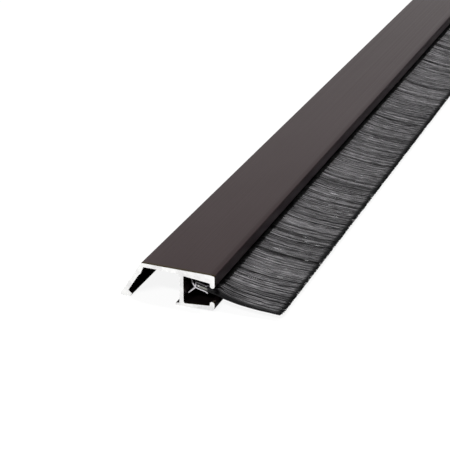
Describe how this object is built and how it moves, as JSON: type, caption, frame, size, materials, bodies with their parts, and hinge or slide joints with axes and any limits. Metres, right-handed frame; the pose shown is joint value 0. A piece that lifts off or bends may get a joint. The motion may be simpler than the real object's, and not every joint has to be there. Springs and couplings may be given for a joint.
{
  "type": "door sweep",
  "caption": "Long anodised cover with a sloping rain edge and a sliding brush strip, held on hidden snap-in clips, sealing a door's bottom edge.",
  "frame": {"origin": "on the door-face plane, at the middle of the sweep's length and width", "axes": "+X across the cover from the sloping rain edge to the brush tips, +Y along the sweep, +Z out of the door"},
  "size_m": [0.0646, 0.9144, 0.015],
  "materials": {
    "bronze_anodised": "satin dark bronze anodising, bare sawn metal on the two cut ends",
    "mill_aluminium": "mill finish sheet",
    "steel_wire": "drawn wire",
    "black_bristle": "black nylon bristle, slightly glossy",
    "clip_nylon": "moulded black nylon"
  },
  "bodies": {
    "cover": {"cover_extrusion": "bronze_anodised"},
    "brush_strip": {"brush_holder": "mill_aluminium", "core_wire": "steel_wire", "bristle_root": "black_bristle"},
    "bristle_fringe": {"bristles": "black_bristle"},
    "clip_1": {"clip_1": "clip_nylon"},
    "clip_2": {"clip_2": "clip_nylon"},
    "clip_3": {"clip_3": "clip_nylon"},
    "clip_4": {"clip_4": "clip_nylon"}
  },
  "joints": [
    {"name": "brush_slide", "type": "slide", "parent": "cover", "child": "brush_strip", "axis": [0, 1, 0], "range_m": [-0.85, 0.85]},
    {"name": "bristle_flex", "type": "hinge", "parent": "brush_strip", "child": "bristle_fringe", "pos_m": [0.00715, 0, 0.0059], "axis": [0, -1, 0], "range_deg": [-4, 35], "stiffness_Nm_per_rad": 0.25},
    {"name": "clip_1_slide", "type": "slide", "parent": "cover", "child": "clip_1", "axis": [0, 1, 0], "range_m": [-0.085, 0.085]},
    {"name": "clip_2_slide", "type": "slide", "parent": "cover", "child": "clip_2", "axis": [0, 1, 0], "range_m": [-0.085, 0.085]},
    {"name": "clip_3_slide", "type": "slide", "parent": "cover", "child": "clip_3", "axis": [0, 1, 0], "range_m": [-0.085, 0.085]},
    {"name": "clip_4_slide", "type": "slide", "parent": "cover", "child": "clip_4", "axis": [0, 1, 0], "range_m": [-0.085, 0.085]}
  ]
}
